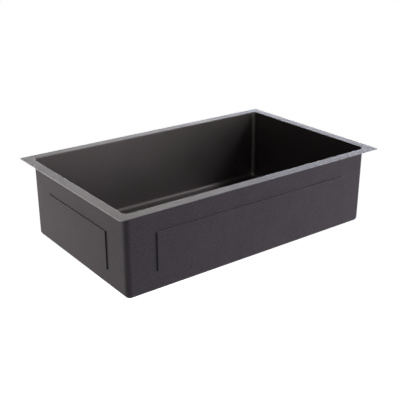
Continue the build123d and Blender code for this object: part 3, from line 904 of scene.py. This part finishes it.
class SINK_OT_basket(bpy.types.Operator):
    """Draw the basket with its rolled lip, slots, post and knob, and the stopper under it"""

    bl_idname = "sink.basket"
    bl_label = "Basket, knob and stopper"

    # Radius of the holes that the post passes through.
    axle = 3.55 * MM

    def slot_cutters(self, size, place, count):
        """Rounded slots, one beside the other round the axis, as one cutter."""
        start("cutter")
        bpy.ops.mesh.primitive_cube_add(size=1, location=place, scale=size)
        cutter = adopt("cutter")
        round_end = size.y / 2 - TINY
        bpy.ops.mesh.select_all(action="DESELECT")
        mesh = bmesh.from_edit_mesh(cutter.data)
        through = 0 if size.x < size.z else 2
        for edge in mesh.edges:
            run = edge.verts[1].co - edge.verts[0].co
            edge.select_set(abs(run[through]) > FACING * run.length)
        bmesh.update_edit_mesh(cutter.data)
        round_picked(round_end, 6)
        pick_all()
        copies = count - 1
        arc = 2 * pi / count * copies
        bpy.ops.mesh.spin(steps=copies, angle=arc, dupli=True, center=(0, 0, 0), axis=(0, 0, 1))
        pick_all()
        bpy.ops.transform.translate(value=DRAIN)
        leave_edit_mode()
        return cutter

    def cut(self, piece, cutter):
        """Take the cutter out of the piece, and throw it away."""
        bpy.ops.object.select_all(action="DESELECT")
        bpy.context.view_layer.objects.active = piece
        piece.select_set(True)
        opening = piece.modifiers.new("Slots", "BOOLEAN")
        opening.object = cutter
        opening.operation = "DIFFERENCE"
        bpy.ops.object.modifier_apply(modifier="Slots")
        bpy.data.objects.remove(cutter)

    def cup(self, sizes):
        """Draw the cup from thin sheet, roll its lip down and punch its slots."""
        top, bottom, lip = turned_box("basket_cup")
        sheet = 0.8 * MM
        wall = lip - 2 * MM
        lip_inside = lip - 0.7 * MM
        lip_end = top - 1.6 * MM
        outline = [
            (wall - sheet, top, 1.0 * MM),
            (lip, top, 0.8 * MM),
            (lip, lip_end, 0.4 * MM),
            (lip_inside, lip_end, 0.2 * MM),
            (lip_inside, top - sheet, 0.4 * MM),
            (wall, top - sheet, 0.3 * MM),
            (wall, bottom, 3.0 * MM),
            (self.axle, bottom, 0),
            (self.axle, bottom + sheet, 0),
            (wall - sheet, bottom + sheet, 2.4 * MM),
        ]
        piece = turn("basket_bowl", outline, steps=128)
        leave_edit_mode()
        height = top - bottom
        slot_width = 3 * MM
        wall_slot = Vector((6 * MM, slot_width, height - 18 * MM))
        wall_place = Vector((wall, 0, bottom + height / 2))
        self.cut(piece, self.slot_cutters(wall_slot, wall_place, sizes.wall_slots))
        floor_slot = Vector((14 * MM, slot_width, 4 * MM))
        floor_place = Vector((21 * MM, 0, bottom))
        self.cut(piece, self.slot_cutters(floor_slot, floor_place, sizes.floor_slots))
        smooth(piece)
        dress(piece, WASTE)
        finish(piece, "basket", "waste_steel", "basket_cup")

    def knob(self):
        """Turn the knob: a lightly domed head on a slim neck, bored for the post."""
        top, bottom, radius = turned_box("basket_knob")
        neck = 5 * MM
        bore_end = bottom + 9 * MM
        outline = [
            (0, top, 0),
            (0.55 * radius, top - 0.1 * MM, 1.5 * MM),
            (radius, top - 1.6 * MM, 1.6 * MM),
            (radius, top - 5.2 * MM, 1.2 * MM),
            (0.62 * radius, top - 6.5 * MM, 1.6 * MM),
            (neck, top - 9.5 * MM, 1.2 * MM),
            (neck, bottom, 0.4 * MM),
            (self.axle, bottom, 0),
            (self.axle, bore_end, 0),
            (0, bore_end, 0),
        ]
        piece = turn("turned_knob", outline, closed=False, steps=72)
        smooth(piece)
        dress(piece, WASTE)
        finish(piece, "basket", "waste_steel", "basket_knob")

    def stopper(self):
        """Mould the stopper: a sloping edge that seals, and a groove underneath."""
        top, bottom, radius = turned_box("stopper_seal")
        groove = bottom + 0.6 * MM
        outline = [
            (self.axle, top, 0.3 * MM),
            (radius - 8 * MM, top, 1.0 * MM),
            (radius - 5 * MM, top - 1.0 * MM, 1.0 * MM),
            (radius, top - 4.2 * MM, 0.8 * MM),
            (radius, bottom, 0.5 * MM),
            (radius - 6 * MM, bottom, 0.4 * MM),
            (radius - 7 * MM, groove, 0.3 * MM),
            (radius - 10 * MM, groove, 0.3 * MM),
            (radius - 11 * MM, bottom, 0.4 * MM),
            (self.axle, bottom, 0.3 * MM),
        ]
        piece = turn("rubber_stopper", outline, steps=96)
        smooth(piece)
        dress(piece, RUBBER)
        finish(piece, "stopper", "black_rubber", "stopper_seal")

    def execute(self, context):
        sizes = context.scene.sink_waste
        self.cup(sizes)
        self.knob()
        self.stopper()
        stack = (
            ("basket_post", "turned_post", 0.3 * MM, WASTE, "waste_steel"),
            ("seal_washer", "steel_washer", 0.2 * MM, WASTE, "waste_steel"),
            ("post_nut", "hex_nut", 0.3 * MM, WASTE, "waste_steel"),
        )
        refine_stack("basket", stack)
        return {"FINISHED"}


class SINK_OT_stage(bpy.types.Operator):
    """Set up the camera, the lamps, the white surroundings and the pale floor"""

    bl_idname = "sink.stage"
    bl_label = "Camera, lamps and floor"

    # The point that the middle of the photograph shows.
    target = Vector((-0.05434, -0.06399, -0.0912))
    # The way to the side of the room that is dim in reflections: the back left.
    dim_way = (-0.8, 0.6, 0)
    # Hues of what the steel reflects: the room is slightly warm, the panel behind is cool.
    room_colour = "FFFBF4"
    left_colour = "FFFFF1"
    back_colour = "E6EEFF"
    high_colour = "FFF2C0"

    def area_lamp(self, name, place, aim, size, power, hex_colour="FFFFFF"):
        """A soft rectangular lamp that the camera doesn't see."""
        bpy.ops.object.light_add(type="AREA", location=place)
        lamp = bpy.context.object
        lamp.name = name
        lamp.rotation_euler = (Vector(aim) - Vector(place)).to_track_quat("-Z", "Y").to_euler()
        lamp.data.shape = "RECTANGLE"
        lamp.data.size, lamp.data.size_y = size
        lamp.data.energy = power
        lamp.data.color = linear(hex_colour)
        lamp.visible_camera = False

    def seen_directly(self, tree):
        """One for rays from the camera and for what shines in metal or glass, zero for the rest."""
        path = add_node(tree, "ShaderNodeLightPath").outputs
        first = {0: path["Is Camera Ray"], 1: path["Is Glossy Ray"]}
        either = add_node(tree, "ShaderNodeMath", first, operation="MAXIMUM")
        second = {0: either, 1: path["Is Transmission Ray"]}
        return add_node(tree, "ShaderNodeMath", second, operation="MAXIMUM")

    def surroundings(self, context, stage):
        """White to the camera. Metal shows it bright near the horizon, dim overhead and at one side."""
        world = bpy.data.worlds.get("White studio") or bpy.data.worlds.new("White studio")
        context.scene.world = world
        world.use_nodes = True
        tree = world.node_tree
        tree.nodes.clear()
        direction = add_node(tree, "ShaderNodeTexCoord").outputs["Generated"]
        height = add_node(tree, "ShaderNodeSeparateXYZ", {0: direction}).outputs["Z"]
        # Each fade starts where the room is still bright and ends where it is dim.
        eased = {"interpolation_type": "SMOOTHSTEP"}
        fade = {"From Min": 0.04, "From Max": 0.3, "To Min": 1.0, "To Max": stage.ceiling}
        overhead = add_node(tree, "ShaderNodeMapRange", {"Value": height} | fade, **eased)
        pair = {0: direction, 1: self.dim_way}
        aside = add_node(tree, "ShaderNodeVectorMath", pair, operation="DOT_PRODUCT").outputs["Value"]
        fade = {"From Min": 0.15, "From Max": 0.4, "To Min": 1.0, "To Max": stage.dim_side}
        sideways = add_node(tree, "ShaderNodeMapRange", {"Value": aside} | fade, **eased)
        room = add_node(tree, "ShaderNodeMath", {0: overhead, 1: sideways}, operation="MULTIPLY")
        glossy = add_node(tree, "ShaderNodeLightPath").outputs["Is Glossy Ray"]
        white = add_node(tree, "ShaderNodeMapRange", {"Value": glossy, "To Min": 1.0, "To Max": room})
        seen = self.seen_directly(tree)
        levels = {"Value": seen, "To Min": stage.world, "To Max": white}
        level = add_node(tree, "ShaderNodeMapRange", levels)
        warm = (*linear(self.room_colour), 1)
        tint = add_node(tree, "ShaderNodeMix", {0: glossy, 6: (1, 1, 1, 1), 7: warm}, data_type="RGBA")
        studio = add_node(tree, "ShaderNodeBackground", {"Color": tint.outputs[2], "Strength": level})
        output = tree.nodes.new("ShaderNodeOutputWorld")
        tree.links.new(studio.outputs[0], output.inputs["Surface"])

    def studio_floor(self, stage):
        """A wide white floor that keeps the shadow, and that isn't there when seen from below."""
        start("studio_floor")
        width = 40
        bpy.ops.mesh.primitive_plane_add(size=width, location=(0, 0, -stage.floor_drop))
        floor = adopt("studio_floor")
        leave_edit_mode()
        tree, output = blank_finish("White paper")
        seen = self.seen_directly(tree)
        pale = 0.8
        up_to_white = {"Value": seen, "To Min": 0.0, "To Max": 1 - pale * stage.world}
        glow = add_node(tree, "ShaderNodeMapRange", up_to_white)
        paper = add_node(tree, "ShaderNodeBsdfDiffuse", {"Color": (pale, pale, pale, 1)})
        lit = add_node(tree, "ShaderNodeEmission", {"Strength": glow})
        white = add_node(tree, "ShaderNodeAddShader", {0: paper, 1: lit})
        clear = add_node(tree, "ShaderNodeBsdfTransparent")
        behind = add_node(tree, "ShaderNodeNewGeometry").outputs["Backfacing"]
        sheet = add_node(tree, "ShaderNodeMixShader", {0: behind, 1: white, 2: clear})
        tree.links.new(sheet.outputs[0], output.inputs["Surface"])
        floor.data.materials.append(bpy.data.materials["White paper"])

    def camera(self, context, stage):
        """Stand the camera where the photograph was taken from."""
        level = cos(stage.elevation)
        back = Vector((
            sin(stage.azimuth) * level,
            -cos(stage.azimuth) * level,
            sin(stage.elevation),
        ))
        bpy.ops.object.camera_add(location=self.target + back * stage.distance)
        camera = bpy.context.object
        camera.name = "photo_view"
        camera.rotation_euler = (-back).to_track_quat("-Z", "Y").to_euler()
        camera.data.lens = stage.lens
        camera.data.sensor_width = 36
        context.scene.camera = camera

    def lamps(self, stage):
        """Set the lamps out round the sink. Each stands where the surface that it is for needs it."""
        low, wide, narrow = (1.3, 0.4), (3.2, 0.45), (2.0, 0.4)
        end_wall, front_wall = (-0.38, 0.15, -0.12), (0.35, -0.23, -0.12)
        rim, floor = (0, 0, 0), (0, 0, -0.15)
        lamp = self.area_lamp
        lamp("low_left", (-1.3, 1.15, -0.26), end_wall, low, stage.left, self.left_colour)
        lamp("low_right", (1.5, -1.15, -0.26), front_wall, low, stage.right)
        lamp("panel_behind", (1.6, 1.75, 0.25), rim, wide, stage.back, self.back_colour)
        lamp("panel_high", (0.7, 2.1, 1.2), rim, narrow, stage.high, self.high_colour)
        lamp("softbox", (0.95, -1.95, 0.7), rim, (0.9, 0.8), stage.softbox)
        lamp("key", (1.6, -0.85, 1.6), floor, (0.6, 0.5), stage.key)

    def execute(self, context):
        stage = context.scene.sink_stage
        self.camera(context, stage)
        self.surroundings(context, stage)
        self.studio_floor(stage)
        self.lamps(stage)
        context.scene.view_settings.view_transform = "Standard"
        return {"FINISHED"}


class SINK_PT_panel(bpy.types.Panel):
    """Lists the sink's sizes and the steps that build it"""

    bl_idname = "SINK_PT_panel"
    bl_label = "Undermount sink"
    bl_space_type = "VIEW_3D"
    bl_region_type = "UI"
    bl_category = "Sink"

    def draw(self, context):
        """One button for each step, then the settings group by group."""
        for step in STEPS:
            self.layout.operator(step.bl_idname)
        for name, group in SETTINGS.items():
            box = self.layout.box()
            for setting in group.__annotations__:
                box.prop(getattr(context.scene, name), setting)


STEPS = (
    SINK_OT_finishes,
    SINK_OT_bowl,
    SINK_OT_pads,
    SINK_OT_strainer,
    SINK_OT_clamping,
    SINK_OT_tailpiece,
    SINK_OT_basket,
    SINK_OT_stage,
)


def register():
    """Register the classes, and give the scene its settings."""
    for group in (*SETTINGS.values(), *STEPS, SINK_PT_panel):
        bpy.utils.register_class(group)
    for name, group in SETTINGS.items():
        setattr(bpy.types.Scene, name, PointerProperty(type=group))


def unregister():
    """Take back what register did, in the opposite order."""
    for name in SETTINGS:
        delattr(bpy.types.Scene, name)
    for group in (SINK_PT_panel, *reversed(STEPS), *reversed(SETTINGS.values())):
        bpy.utils.unregister_class(group)


def main():
    """Register the add-on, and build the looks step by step."""
    register()
    bpy.ops.sink.finishes()
    bpy.ops.sink.bowl()
    bpy.ops.sink.pads()
    bpy.ops.sink.strainer()
    bpy.ops.sink.clamping()
    bpy.ops.sink.tailpiece()
    bpy.ops.sink.basket()
    bpy.ops.sink.stage()


if __name__ == "__main__":
    main()
